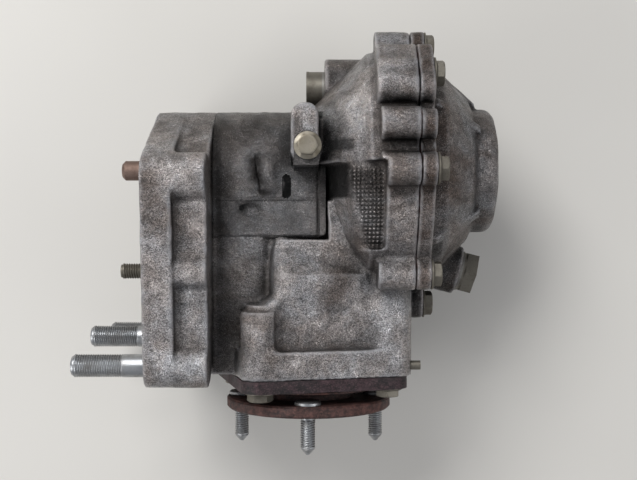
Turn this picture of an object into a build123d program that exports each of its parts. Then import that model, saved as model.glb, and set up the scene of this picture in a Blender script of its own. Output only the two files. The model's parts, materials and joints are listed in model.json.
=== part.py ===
from build123d import *
import os
from math import cos, hypot, pi, radians, sin, tan

os.makedirs("parts", exist_ok=True)

# Frame: the origin is where the main axis crosses the transaxle mating face.
# +X runs along the main axis towards the driveshaft boss, +Z is up in the vehicle,
# and the pinion axis runs along -Y. All sizes are in millimetres.

# Clearances
run_gap = 0.3
bolt_gap = 0.3

# Places along the main axis
flange_t = 16.0
block_x = 33.0
tube_end_x = 90.0
joint_x = 141.4
right_flange_t = 8.1
boss_end_x = 187.5

# Pinion axis, and distances along it from the main axis
pinion_x = 84.3
neck_face_d = 113.0

# Transaxle flange: places (Y, Z) and boss radii
dowel_yz = (-4.0, 58.0)
dowel_boss_yz, dowel_boss_r = (-7.0, 58.0), 12.5
short_bolt_yz, short_boss_r = (-55.4, 54.0), 9.0
low_stud_yz, low_boss_r = (-105.0, 48.0), 11.5
mid_stud_yz, mid_boss_r = (-94.0, 3.0), 11.0
deep_stud_yz, deep_boss_r = (-96.5, -52.0), 11.5
front_lug_yz, front_lug_r = (25.0, -56.0), 11.0
floor_z = -80.0
foot_w = 20.0
front_foot_y = 25.0
rear_foot_y = -86.0
block_inset = 7.0
pocket_w, pocket_h, pocket_depth = 19.0, 58.0, 30.0
pocket_ys = (-48.0, -72.0)

# Input tube and bell
tube_r = 33.0
shielded_tube_r = 31.7
pilot_r, pilot_depth = 28.0, 8.0
input_seal_r, input_seal_w = 27.0, 9.0
tube_bore_r = 22.0
bell_r = 66.0
bell_cone_x = 117.0
bell_neck_r = 39.0
cavity_r = 58.0

# Joint between the two cases
joint_flange_t = 16.9
bolt_circle_r = 70.0
joint_bolt_angles = (3.0, 48.0, 93.0, 145.0, 228.0, 273.0, 318.0)
rear_bolt_r, rear_bolt_angle = 75.6, 183.0
lobe_r = 8.5
lobe_length = 20.0
m8_r = 4.0
dowel_angles = (74.0, 254.0)
dowel_lobe_r = 7.5
block_angles = (38.0, 56.0)

# Right case
dome_r = 58.0
boss_r = 34.9
boss_start_x = 175.5
boss_fillet = 5.5
rib_angles = (12.0, 57.0, 132.0, 207.0, 252.0, 305.0)
rib_t = 5.0

# Heat shield
shield_t = 1.2
shield_left_x, shield_right_x = block_x + run_gap, 93.8
shield_rear_y = -38.0
shield_gap = 0.4
lug_x, lug_w = 82.8, 14.4
shield_bolt_x = 84.4
lug_rear_y, lug_front_y, lug_top_z = 1.0, 31.7, 55.0
shield_bolt_y = 9.3
m6_r = 3.0
slot_x, slot_y, slot_w, slot_l = 72.6, -10.6, 4.8, 13.4

# Pinion neck
cage_bolt_r = 50.0
cage_bolt_angle = 30.0
cage_boss_r = 10.5
neck_inset = 3.5
neck_top_d = 58.0
boss_top_d = 77.0
band_top_d = 97.0
cage_bore_r = 34.0
cage_bore_d = 56.0

# Bearing cage
shim_t = 0.5
cage_plate_t = 6.0
head_cup_r, tail_cup_r, pinion_seal_r = 31.0, 28.0, 29.0

# Companion flange
companion_r, companion_t, companion_face_d = 46.25, 6.2, 133.4
companion_hub_r = 19.0
companion_flare_r, companion_flare_d = 26.0, 121.8
small_chamfer = 1.0
stud_circle_r = 38.0
flange_stud_r, flange_stud_out = 4.0, 20.2
flange_press_r = 4.35
spline_r = 12.5
nut_pocket_r = 21.0

# Transaxle studs
m12_r, m12_seat_r = 6.0, 5.4
long_stud_out = 38.5
stud_in = 22.0
dowel_pin_r, dowel_seat_r, dowel_pin_out = 5.0, 4.5, 10.0
m8_seat_r = 3.5
short_bolt_out = 11.5
seat_relief = 0.5

# Bevel gears
ring_teeth, pinion_teeth = 37, 19
ring_pitch_r = 50.0
pinion_pitch_r = ring_pitch_r * pinion_teeth / ring_teeth
ring_face_w = 17.0
side_teeth, spider_teeth = 20, 12
side_pitch_r = 29.0
spider_pitch_r = side_pitch_r * spider_teeth / side_teeth
side_face_w = 9.4
addendum_share, dedendum_share = 0.75, 1.05
tooth_share = 0.42
pressure_angle = 24.0
tooth_sink = 0.4

# Differential
differential_x = 134.5
shaft_bore_r = 11.5
sleeve_wall = 2.3
front_sleeve_r = shaft_bore_r + sleeve_wall
input_sleeve_in_r = front_sleeve_r + run_gap
input_sleeve_r = input_sleeve_in_r + 2.9
trunnion_in_r = input_sleeve_r + 0.4
trunnion_r = trunnion_in_r + 3.1
cross_hub_r, cross_hub_w = input_sleeve_r + 3.0, 13.0
cross_arm_r, cross_arm_end = 5.0, 34.5
drum_in_r, drum_r, drum_rim_r = 35.5, 38.0, 42.0
drum_end_x = 159.4
carrier_disc_x = 103.0
drum_start_x = 107.5
carrier_flange_x, carrier_flange_t = 122.0, 5.0
ring_bolt_circle_r = 45.0
ring_gear_r = 52.0
rear_side_back_x = 110.5
cover_t = 4.0
cover_bolt_circle_r = 38.6
m5_r = 2.5

# Bearings
carrier_bearing_r, carrier_bearing_w = 29.0, 14.0
left_bearing_x = 50.0
right_bearing_x = 178.0
head_bearing_d, head_bearing_w = 55.0, 16.0
head_shaft_r = 17.5
tail_bearing_d, tail_bearing_w = 93.0, 14.0
tail_shaft_r = 14.0

roller_gap = 0.12
rib_h = 1.2

# Plugs
filler_seat = (171.0, -57.0, -12.0)
filler_axis = (0.966, -0.258, 0.0)
filler_boss_r, filler_boss_l = 14.0, 26.0
plug_r, plug_shank = 8.0, 12.0
plug_flats, plug_head = 22.0, 8.0
gasket_t = 1.5
plug_collar_h = 1.5
drain_seat = (106.0, -26.0, -64.0)
screw_plug_yz = (48.0, -8.0)
screw_boss_r, screw_boss_x = 17.0, 93.5
screw_plug_r, screw_shank = 9.8, 8.5
spot_depth = 9.0

# Smaller sizes of the castings
foot_top_z, foot_corner = -48.0, 3.0
bell_neck_x = 82.0
block_length = 21.5
web_start_x, web_end_x = 20.0, 66.0
web_low_z, web_top_z, web_corner = -46.0, 31.6, 9.0
web_end_d = 112.0
shoulder_d, shoulder_r, shoulder_corner = 39.0, 29.6, 6.0
lug_base_z, lug_corner = 18.0, 6.0
screw_boss_l = 22.0
plug_boss_r, drain_boss_l = 12.0, 22.0
bracket_y, bracket_boss_r, bracket_boss_l = -88.0, 12.0, 44.0
bracket_hole_r, bracket_hole_l = 5.0, 18.0
cavity_start_x = 94.5
cavity_neck_r, cavity_neck_x = 33.0, 97.5
cavity_mid_r, cavity_mid_x = 52.6, 108.0
cavity_full_x = 114.0
pinion_nose_r, pinion_nose_d = 22.5, 32.0
pinion_heel_r, pinion_heel_d = 30.5, 52.0
pocket_z, pocket_corner = -4.0, 5.0
dowel_in, short_bolt_in = 14.0, 16.0
joint_bolt_in, case_dowel_in, case_dowel_out = 17.0, 7.0, 6.0
cage_bolt_in, shield_bolt_in = 18.0, 14.0
recess_floor = (
    (81.0, 31.7),
    (94.5, 31.7),
    (96.0, 36.0),
    (98.0, 40.0),
    (101.0, 45.5),
    (104.5, 51.0),
    (108.0, 56.5),
    (112.0, 60.0),
    (117.0, 61.8),
    (124.4, 62.6),
)
recess_rear_y, recess_front_y = -44.0, 1.0
dome_shoulder_r, dome_shoulder_x = 56.5, 157.0
dome_waist_r, dome_waist_x = 41.0, 172.5
rib_foot_r = 60.0
right_cavity_r, right_cavity_end_r = 46.0, 43.0
right_seat_x = 166.5
right_seal_x = 179.8
filler_hole_l = 30.0
cheek_start_d, cheek_x, cheek_r = 45.0, 131.0, 9.5

# Corners (X, Z) of the pinion neck's sections, seen along its axis
neck_corner_r = 7.0
neck_flare_d = 69.0
neck_shoulder = ((108.0, 13.5), (71.0, 24.6), (60.0, -14.0), (99.0, -24.6))
neck_waist = ((126.0, 25.0), (73.0, 41.5), (60.0, -20.0), (108.0, -42.0))
neck_foot = ((127.0, 25.0), (60.5, 43.3), (42.5, -24.0), (108.5, -43.3))

# Fasteners and small pieces
m8_flats, m8_head, m8_flange_r, m8_flange_h = 12.0, 4.2, 8.3, 1.4
cage_bolt_head = 3.6
m6_flats, m6_head, m6_flange_r, m6_flange_h = 10.0, 4.4, 7.2, 1.5
m5_flats, m5_head = 7.0, 2.6
joint_bolt_shank = 24.0
ring_bolt_shank, ring_bolt_head = 13.0, 5.0
cover_bolt_shank = 8.0
stud_head_r, stud_head_h = 7.15, 2.2
deflector_r, deflector_d, deflector_t = 41.0, 120.6, 1.0
washer_t = 2.5
pinion_nut_flats, pinion_nut_h = 30.0, 6.0
thread_r = 9.0
shaft_end_d = 133.2
head_face_d = 54.0
head_shoulder_r = 21.0
spacer_r, spacer_bulge_r = 17.5, 19.0
groove_r, groove_d, groove_w = 32.4, 104.5, 2.4
spider_back, spider_bore_front = 31.6, 21.8
spider_washer_r, spider_washer_t = 9.0, 0.8
side_washer_r = 24.0
side_back = 23.4
neck_pin_r, neck_pin_d, neck_pin_z = 2.5, 107.6, 25.0
screw_rim_r, screw_rim_t, screw_plug_l = 10.0, 1.5, 9.0
shield_front_angle = 12.0
ear_w, ear_front_y = 13.0, 15.5
neck_pin_in, neck_pin_out = 6.0, 5.0
pinion_seal_d, pinion_seal_w = 108.5, 9.0
nut_seat_d = 127.0
washer_seat_d = nut_seat_d - washer_t
pinion_front_d = 33.4
side_front_h = 15.5
sleeve_start_x = 9.0
cage_bolt_shank = 22.0
carrier_rollers, head_rollers, tail_rollers = 16, 14, 12

main_place = Plane(origin=(0, 0, 0), x_dir=(0, 1, 0), z_dir=(1, 0, 0))
pinion_place = Plane(origin=(pinion_x, 0, 0), x_dir=(1, 0, 0), z_dir=(0, -1, 0))


def turned(profile, place):
    """A solid of revolution from (radius, height) points round the local Z axis."""
    with BuildPart() as body:
        with BuildSketch(Plane.XZ):
            with BuildLine():
                Polyline(*profile, close=True)
            make_face()
        revolve(axis=Axis.Z)
    return body.part.moved(place.location)


def tube(outer_r, inner_r, start, end, place):
    """A plain ring between two heights of a place."""
    return turned([(inner_r, start), (outer_r, start), (outer_r, end), (inner_r, end)], place)


def upper_slice(profile, low_y, high_y):
    """The part of a solid turned round the main axis that is above it, between two values of Y."""
    with BuildPart() as body:
        add(turned(profile, main_place))
        with BuildSketch(Plane.XY):
            with Locations((joint_x / 2, (low_y + high_y) / 2)):
                Rectangle(joint_x * 2, high_y - low_y)
        extrude(amount=bell_r + 20, mode=Mode.INTERSECT)
    return body.part


def rod(radius, start, end, place):
    """A plain cylinder between two heights of a place."""
    with BuildPart() as body:
        with BuildSketch(Plane.XY.offset(start)):
            Circle(radius)
        extrude(amount=end - start)
    return body.part.moved(place.location)


def along_x(yz, x=0.0, direction=1):
    """A place on a line parallel to the main axis."""
    return Plane(origin=(x, *yz), x_dir=(0, 1, 0), z_dir=(direction, 0, 0))


def on_circle(radius, angle):
    """The (Y, Z) point at an angle from +Y towards +Z."""
    return (radius * cos(radians(angle)), radius * sin(radians(angle)))


def hex_bolt(shank_r, shank, flats, head, flange_r, flange_h):
    """A flanged bolt: the seat is at height 0, the head is above and the shank below."""
    with BuildPart() as bolt:
        with BuildSketch(Plane.XY.offset(-shank)):
            Circle(shank_r)
        extrude(amount=shank)
        with BuildSketch():
            Circle(flange_r)
        extrude(amount=flange_h)
        with BuildSketch(Plane.XY.offset(flange_h)):
            RegularPolygon(flats / 2, 6, major_radius=False)
        extrude(amount=head)
    return bolt.part


def cap_screw(shank_r, shank, flats, head):
    """A low hex screw without a flange: the seat is at height 0."""
    with BuildPart() as screw:
        add(rod(shank_r, -shank, 0, Plane.XY))
        with BuildSketch():
            RegularPolygon(flats / 2, 6, major_radius=False)
        extrude(amount=head)
    return screw.part


def flipped(place):
    """The same place, pointing the other way."""
    return Plane(origin=place.origin, x_dir=place.x_dir, z_dir=-place.z_dir)


def hex_plug(place):
    """A hex plug on its gasket."""
    bolt = hex_bolt(plug_r, plug_shank + gasket_t, plug_flats, plug_head - plug_collar_h,
                    plug_flats / 2, plug_collar_h)
    return bolt.moved(place.offset(gasket_t).location)


def oil_seal(outer_r, inner_r, width, start, place):
    """A lip seal: a shell pressed in at its outside, with a thin lip inside."""
    profile = [
        (outer_r, start),
        (outer_r, start + width),
        (inner_r + 3, start + width),
        (inner_r, start + width / 2 + 0.6),
        (inner_r, start + width / 2 - 0.6),
        (inner_r + 2.5, start),
    ]
    return turned(profile, place)


def stud(radius, seat_radius, inner, outer, tip):
    """A stud through height 0: seated below it, with a cone point above."""
    profile = [
        (0, -inner),
        (seat_radius, -inner),
        (seat_radius, seat_relief),
        (radius, seat_relief),
        (radius, outer - tip),
        (radius - tip, outer),
        (0, outer),
    ]
    return turned(profile, Plane.XY)


def bevel_points(pitch_r, mate_r, face_w, teeth):
    """Root and tip points (radius, height from the apex) at the heel, and the toe's share."""
    distance = hypot(pitch_r, mate_r)
    module = 2 * pitch_r / teeth
    normal = (mate_r / distance, -pitch_r / distance)
    tip = [p + addendum_share * module * n for p, n in zip((pitch_r, mate_r), normal)]
    root = [p - dedendum_share * module * n for p, n in zip((pitch_r, mate_r), normal)]
    return tip, root, (distance - face_w) / distance


def bevel_tooth(pitch_r, mate_r, face_w, teeth, turn):
    """One straight bevel tooth, lofted from the toe to the heel."""
    distance = hypot(pitch_r, mate_r)
    module = 2 * pitch_r / teeth
    share = (distance - face_w) / distance
    above, below = addendum_share * module, dedendum_share * module + tooth_sink
    half = tooth_share * pi * module / 2
    lean = tan(radians(pressure_angle))
    around = (-sin(radians(turn)), cos(radians(turn)), 0)
    outward = (cos(radians(turn)), sin(radians(turn)))
    with BuildPart() as tooth:
        for size in (share, 1.0):
            centre = (size * pitch_r * outward[0], size * pitch_r * outward[1], size * mate_r)
            with BuildSketch(Plane(origin=centre, x_dir=around, z_dir=centre)):
                with BuildLine():
                    Polyline(
                        (-size * (half + lean * below), size * below),
                        (-size * (half - lean * above), -size * above),
                        (size * (half - lean * above), -size * above),
                        (size * (half + lean * below), size * below),
                        close=True,
                    )
                make_face()
        loft(ruled=True)
    return tooth.part


def bevel_gear(pitch_r, mate_r, face_w, teeth, back, place, first_angle):
    """A straight bevel gear. back gives the points of its body behind the teeth."""
    tip, root, share = bevel_points(pitch_r, mate_r, face_w, teeth)
    toe_root = (root[0] * share, root[1] * share)
    with BuildPart() as gear:
        add(turned([toe_root, tuple(root), *back], Plane.XY))
        for i in range(teeth):
            add(bevel_tooth(pitch_r, mate_r, face_w, teeth, first_angle + i * 360 / teeth))
    return gear.part.moved(place.location)


def race_radius(bore_r, outer_r, width, roller_r, slope, height, side):
    """Radius of a raceway at a height: side is -1 for the cone and 1 for the cup."""
    middle = (bore_r + outer_r) / 2 + side * (roller_r / cos(radians(slope)) + roller_gap)
    return middle + (height - width / 2) * tan(radians(slope))


def bearing_cone(bore_r, outer_r, width, roller_r, slope, place):
    """The inner race, with its rib at the large end."""
    race = [race_radius(bore_r, outer_r, width, roller_r, slope, h, -1) for h in (0, width - 1.5)]
    profile = [(bore_r, 0), (race[0], 0), (race[1], width - 1.5), (race[1] + rib_h, width - 1.5),
               (race[1] + rib_h, width), (bore_r, width)]
    return turned(profile, place)


def bearing_cup(bore_r, outer_r, width, roller_r, slope, place):
    """The outer race, thick at the rollers' small ends."""
    race = [race_radius(bore_r, outer_r, width, roller_r, slope, h, 1) for h in (0, width - 2.5)]
    return turned([(outer_r, 0), (race[0], 0), (race[1], width - 2.5), (outer_r, width - 2.5)], place)


def bearing_rollers(bore_r, outer_r, width, roller_r, slope, count, place):
    """The rollers, and their cage of two rings with a bar between each pair of rollers."""
    middle_r = (bore_r + outer_r) / 2
    length = width - 5.0
    lean = tan(radians(slope))
    roller_axis = Plane(origin=(middle_r, 0, width / 2 - 0.3), x_dir=(0, 1, 0), z_dir=(lean, 0, 1))
    roller = rod(roller_r, -length / 2, length / 2, roller_axis)
    ring_w, ring_t = roller_r * 0.8, 0.7
    low_ring = (width - length) / 2 - 1.0 - ring_t
    high_ring = (width + length) / 2 + 0.2
    with BuildPart() as cage:
        for low in (low_ring, high_ring):
            radius = middle_r + (low - width / 2) * lean
            add(tube(radius + ring_w / 2, radius - ring_w / 2, low, low + ring_t, Plane.XY))
        bar_axis = Plane(origin=(middle_r, 0, width / 2), x_dir=(0, 1, 0), z_dir=(lean, 0, 1))
        bar = slab(0.9, ring_w * 0.9, low_ring - width / 2 + 0.3, high_ring - width / 2 + 0.4, bar_axis)
        for i in range(count):
            add(bar.moved(Location((0, 0, 0), (0, 0, (i + 0.5) * 360 / count))))
    with BuildPart() as rollers:
        for i in range(count):
            add(roller.moved(Location((0, 0, 0), (0, 0, i * 360 / count))))
        add(cage.part)
    return rollers.part.moved(place.location)


def slab(width, height, start, end, place):
    """A plain rectangular bar between two heights of a place."""
    with BuildPart() as body:
        with BuildSketch(Plane.XY.offset(start)):
            Rectangle(width, height)
        extrude(amount=end - start)
    return body.part.moved(place.location)


def cage_hull(circle_r, boss_radius, start_d, end_d):
    """A rounded square round the pinion axis, turned as the four cage bolts are."""
    with BuildPart() as hull:
        with BuildSketch(pinion_place.offset(start_d)):
            with PolarLocations(circle_r, 4, start_angle=cage_bolt_angle):
                Circle(boss_radius)
            make_hull()
        extrude(amount=end_d - start_d)
    return hull.part


def case_outline(start, end, block_start):
    """The joint flange that both cases share: a disc with its bolt and dowel lobes."""
    with BuildPart() as flange:
        with BuildSketch(Plane.YZ.offset(start)):
            Circle(bell_r)
            for angle in dowel_angles:
                with Locations(on_circle(bolt_circle_r, angle)):
                    Circle(dowel_lobe_r)
            with Locations((foot_bolt_yz[0], (floor_z + foot_bolt_yz[1]) / 2)):
                Rectangle(2 * lobe_r, foot_bolt_yz[1] - floor_z)
        extrude(amount=end - start)
        for radius, angle in joint_bolts:
            with BuildSketch(Plane.YZ.offset(start)):
                for lobe_centre in (on_circle(bell_r - lobe_r, angle), on_circle(radius, angle)):
                    with Locations(lobe_centre):
                        Circle(lobe_r)
                make_hull()
            extrude(amount=end - start)
        with BuildSketch(Plane.YZ.offset(block_start)):
            for angle in block_angles:
                with Locations(on_circle(bolt_circle_r, angle)):
                    Circle(lobe_r)
            make_hull()
        extrude(amount=end - block_start)
    return flange.part


def tapped_hole(radius, depth, place):
    """A hole with a countersunk mouth, going up from height 0 of its place."""
    return turned([(0, -0.1), (radius + 1.1, -0.1), (radius, 1), (radius, depth), (0, depth)], place)


def cage_bolt_places(distance):
    """Places at the four cage bolts, pointing along the pinion axis."""
    places = []
    for i in range(4):
        angle = radians(cage_bolt_angle + 90 * i)
        origin = (pinion_x + cage_bolt_r * cos(angle), -distance, cage_bolt_r * sin(angle))
        places.append(Plane(origin=origin, x_dir=(1, 0, 0), z_dir=(0, -1, 0)))
    return places


def stud_circle_places(distance):
    """Places at the four companion flange studs, pointing along the pinion axis."""
    places = []
    for x, z in ((1, 0), (0, 1), (-1, 0), (0, -1)):
        origin = (pinion_x + x * stud_circle_r, -distance, z * stud_circle_r)
        places.append(Plane(origin=origin, x_dir=(1, 0, 0), z_dir=(0, -1, 0)))
    return places


joint_bolts = [(rear_bolt_r, rear_bolt_angle), *[(bolt_circle_r, angle) for angle in joint_bolt_angles]]
joint_bolt_yz = [on_circle(radius, angle) for radius, angle in joint_bolts]
foot_bolt_yz = on_circle(bolt_circle_r, joint_bolt_angles[5])
case_dowel_yz = [on_circle(bolt_circle_r, angle) for angle in dowel_angles]
filler_place = Plane(origin=filler_seat, x_dir=(0, 0, 1), z_dir=filler_axis)
drain_place = Plane(origin=drain_seat, x_dir=(1, 0, 0), z_dir=(0, 0, -1))
screw_place = along_x(screw_plug_yz, screw_boss_x, -1)
bracket_place = Plane(origin=(pinion_x, bracket_y, floor_z), x_dir=(1, 0, 0), z_dir=(0, 0, 1))
lug_place = Plane(origin=(shield_bolt_x, shield_bolt_y, lug_top_z), x_dir=(1, 0, 0), z_dir=(0, 0, 1))
right_face_x = joint_x + right_flange_t
right_boss_z = cage_bolt_r * sin(radians(cage_bolt_angle))
neck_pin_place = along_x((-neck_pin_d, neck_pin_z), cheek_x + cheek_r)

# Main case
with BuildPart() as main_case:
    # The flange plate, its inset block, the bosses and the two feet
    flange_bosses = [
        (dowel_boss_yz, dowel_boss_r),
        (low_stud_yz, low_boss_r),
        (deep_stud_yz, deep_boss_r),
        (front_lug_yz, front_lug_r),
    ]
    for shrink, depth in ((0.0, flange_t), (block_inset, block_x)):
        with BuildSketch(Plane.YZ):
            Circle(tube_r)
            for place, radius in flange_bosses:
                with Locations(place):
                    Circle(radius - shrink)
            make_hull()
        extrude(amount=depth)
    for place, radius in (*flange_bosses, (short_bolt_yz, short_boss_r), (mid_stud_yz, mid_boss_r)):
        add(rod(radius, 0, block_x, along_x(place)))
    for foot_y in (front_foot_y, rear_foot_y):
        with BuildSketch(Plane.YZ):
            with Locations((foot_y, (floor_z + foot_top_z) / 2)):
                RectangleRounded(foot_w, foot_top_z - floor_z, foot_corner)
        extrude(amount=block_x)

    # The input tube, the bell and the joint flange
    add(rod(tube_r, 0, block_x, main_place))
    bell_profile = [
        (0, block_x - 1),
        (shielded_tube_r, block_x - 1),
        (shielded_tube_r, bell_neck_x),
        (bell_neck_r, tube_end_x),
        (bell_r, bell_cone_x),
        (bell_r, joint_x),
        (0, joint_x),
    ]
    add(turned(bell_profile, main_place))
    add(case_outline(joint_x - joint_flange_t, joint_x, joint_x - block_length))
    for place in (*joint_bolt_yz, *case_dowel_yz):
        add(rod(lobe_r, joint_x - lobe_length, joint_x, along_x(place)))

    # The recess in the top of the bell, which the neck closes at its rear
    recess_profile = [
        (recess_floor[0][1], recess_floor[0][0]),
        (bell_r + 20, recess_floor[0][0]),
        (bell_r + 20, recess_floor[-1][0]),
        *[(radius, x) for x, radius in reversed(recess_floor)][:-1],
    ]
    add(upper_slice(recess_profile, recess_rear_y, recess_front_y), mode=Mode.SUBTRACT)

    # The web between the flange and the neck
    with BuildSketch(Plane.XZ):
        with Locations(((web_start_x + web_end_x) / 2, (web_low_z + web_top_z) / 2)):
            RectangleRounded(web_end_x - web_start_x, web_top_z - web_low_z, web_corner)
    extrude(amount=web_end_d)

    # The pinion neck: a rounded block that swells from the tube down to the cage bolts
    add(cage_hull(shoulder_r, shoulder_corner, 0, shoulder_d))
    add(cage_hull(cage_bolt_r, cage_boss_r - neck_inset, boss_top_d - neck_inset, neck_face_d))
    add(cage_hull(cage_bolt_r, cage_boss_r, band_top_d, neck_face_d))
    for place in cage_bolt_places(0):
        add(rod(cage_boss_r, boss_top_d, neck_face_d, place))
    neck_sections = (
        (shoulder_d, neck_shoulder),
        (neck_top_d, neck_waist),
        (neck_flare_d, neck_waist),
        (boss_top_d, neck_foot),
    )
    for (start_d, start_corners), (end_d, end_corners) in zip(neck_sections, neck_sections[1:]):
        for section_d, corners in ((start_d, start_corners), (end_d, end_corners)):
            with BuildSketch(Plane.XZ.offset(section_d)):
                for corner in corners:
                    with Locations(corner):
                        Circle(neck_corner_r)
                make_hull()
        loft()

    # The neck's right wall, which carries on down from the joint flange
    with BuildSketch(Plane.XZ.offset(cheek_start_d)):
        for x, z in ((cheek_x, right_boss_z), (cheek_x, -right_boss_z), (pinion_x, right_boss_z)):
            with Locations((x, z)):
                Circle(cheek_r)
        make_hull()
    extrude(amount=neck_face_d - cheek_start_d)

    # The shield lug, the screw plug boss, the drain boss and the bracket boss
    with BuildSketch(Plane.XY.offset(lug_base_z)):
        with Locations((lug_x, (lug_rear_y + lug_front_y) / 2)):
            RectangleRounded(lug_w, lug_front_y - lug_rear_y, lug_corner)
    extrude(amount=lug_top_z - lug_base_z)
    add(rod(screw_boss_r, -screw_boss_l, 0, screw_place))
    add(rod(plug_boss_r, -drain_boss_l, 0, drain_place))
    add(rod(bracket_boss_r, 0, bracket_boss_l, bracket_place))

    # The main bore: pilot, input seal, left bearing, and the bell's cavity
    main_bore = [
        (0, -1),
        (pilot_r, -1),
        (pilot_r, pilot_depth),
        (input_seal_r, pilot_depth),
        (input_seal_r, pilot_depth + input_seal_w),
        (tube_bore_r, pilot_depth + input_seal_w),
        (tube_bore_r, left_bearing_x),
        (carrier_bearing_r, left_bearing_x),
        (carrier_bearing_r, cavity_start_x),
        (cavity_neck_r, cavity_neck_x),
        (cavity_mid_r, cavity_mid_x),
        (cavity_r, cavity_full_x),
        (cavity_r, joint_x + 1),
        (0, joint_x + 1),
    ]
    add(turned(main_bore, main_place), mode=Mode.SUBTRACT)
    pinion_bore = [
        (0, 0),
        (pinion_nose_r, 0),
        (pinion_nose_r, pinion_nose_d),
        (pinion_heel_r, pinion_heel_d),
        (pinion_heel_r, cage_bore_d),
        (cage_bore_r, cage_bore_d),
        (cage_bore_r, neck_face_d + 1),
        (0, neck_face_d + 1),
    ]
    add(turned(pinion_bore, pinion_place), mode=Mode.SUBTRACT)

    # Core pockets in the mating face
    with BuildSketch(Plane.YZ):
        for pocket_y in pocket_ys:
            with Locations((pocket_y, pocket_z)):
                RectangleRounded(pocket_w, pocket_h, pocket_corner)
    extrude(amount=pocket_depth, mode=Mode.SUBTRACT)

    # Holes
    for place in (low_stud_yz, mid_stud_yz, deep_stud_yz):
        add(tapped_hole(m12_seat_r, stud_in, along_x(place)), mode=Mode.SUBTRACT)
    add(tapped_hole(dowel_seat_r, dowel_in, along_x(dowel_yz)), mode=Mode.SUBTRACT)
    add(tapped_hole(m8_seat_r, short_bolt_in, along_x(short_bolt_yz)), mode=Mode.SUBTRACT)
    for place in joint_bolt_yz:
        add(rod(m8_r, 0, joint_bolt_in, along_x(place, joint_x, -1)), mode=Mode.SUBTRACT)
    for place in case_dowel_yz:
        add(rod(m8_r, 0, case_dowel_in, along_x(place, joint_x, -1)), mode=Mode.SUBTRACT)
    for place in cage_bolt_places(neck_face_d):
        add(rod(m8_r, -cage_bolt_in, 0, place), mode=Mode.SUBTRACT)
    add(rod(m6_r, -shield_bolt_in, 0, lug_place), mode=Mode.SUBTRACT)
    add(rod(plug_r, -screw_shank, 0, screw_place), mode=Mode.SUBTRACT)
    add(rod(plug_r, -plug_shank, 0, drain_place), mode=Mode.SUBTRACT)
    add(tapped_hole(bracket_hole_r, bracket_hole_l, bracket_place), mode=Mode.SUBTRACT)

    # Spot faces for the plugs, and the breather hole
    add(rod(screw_rim_r + 0.6, 0, spot_depth, screw_place), mode=Mode.SUBTRACT)
    add(rod(plug_flats / 2 + 2.5, 0, spot_depth, drain_place), mode=Mode.SUBTRACT)
    add(rod(neck_pin_r, -neck_pin_in, 2, neck_pin_place), mode=Mode.SUBTRACT)

# Right case
with BuildPart() as right_case:
    dome_profile = [
        (0, joint_x),
        (dome_r, joint_x),
        (dome_r, right_face_x + 2),
        (dome_shoulder_r, dome_shoulder_x),
        (dome_waist_r, dome_waist_x),
        (boss_r, boss_start_x),
        (boss_r, boss_end_x),
        (0, boss_end_x),
    ]
    add(turned(dome_profile, main_place))
    fillet(right_case.edges().filter_by(GeomType.CIRCLE).sort_by(Axis.X)[-1], boss_fillet)
    add(case_outline(joint_x, right_face_x, joint_x))
    for angle in rib_angles:
        c, s = cos(radians(angle)), sin(radians(angle))
        with BuildSketch(Plane(origin=(0, 0, 0), x_dir=(0, c, s), z_dir=(0, s, -c))):
            with BuildLine():
                Polyline(
                    (boss_r - 6, joint_x + 3),
                    (rib_foot_r, joint_x + 3),
                    (rib_foot_r, right_face_x + 3),
                    (boss_r + 3, boss_start_x + 2),
                    (boss_r - 6, boss_start_x + 2),
                    close=True,
                )
            make_face()
        extrude(amount=rib_t / 2, both=True)
    add(rod(filler_boss_r, -filler_boss_l, 0, filler_place))

    # The cavity, the right bearing seat and the seal seat
    right_bore = [
        (0, joint_x - 1),
        (cavity_r, joint_x - 1),
        (cavity_r, joint_x + 4),
        (right_cavity_r, joint_x + 10),
        (right_cavity_r, drum_end_x + 2),
        (right_cavity_end_r, right_seat_x),
        (carrier_bearing_r, right_seat_x),
        (carrier_bearing_r, right_bearing_x),
        (tube_bore_r, right_bearing_x),
        (tube_bore_r, right_seal_x),
        (input_seal_r, right_seal_x),
        (input_seal_r, boss_end_x + 1),
        (0, boss_end_x + 1),
    ]
    add(turned(right_bore, main_place), mode=Mode.SUBTRACT)
    for place in joint_bolt_yz:
        add(rod(m8_r + bolt_gap, -1, right_flange_t + 1, along_x(place, joint_x)), mode=Mode.SUBTRACT)
        add(rod(m8_flange_r + 0.6, 0, spot_depth, along_x(place, right_face_x)), mode=Mode.SUBTRACT)
    for place in case_dowel_yz:
        add(rod(m8_r, -1, case_dowel_out, along_x(place, joint_x)), mode=Mode.SUBTRACT)
    add(rod(plug_r, -filler_hole_l, 1, filler_place), mode=Mode.SUBTRACT)
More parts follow.
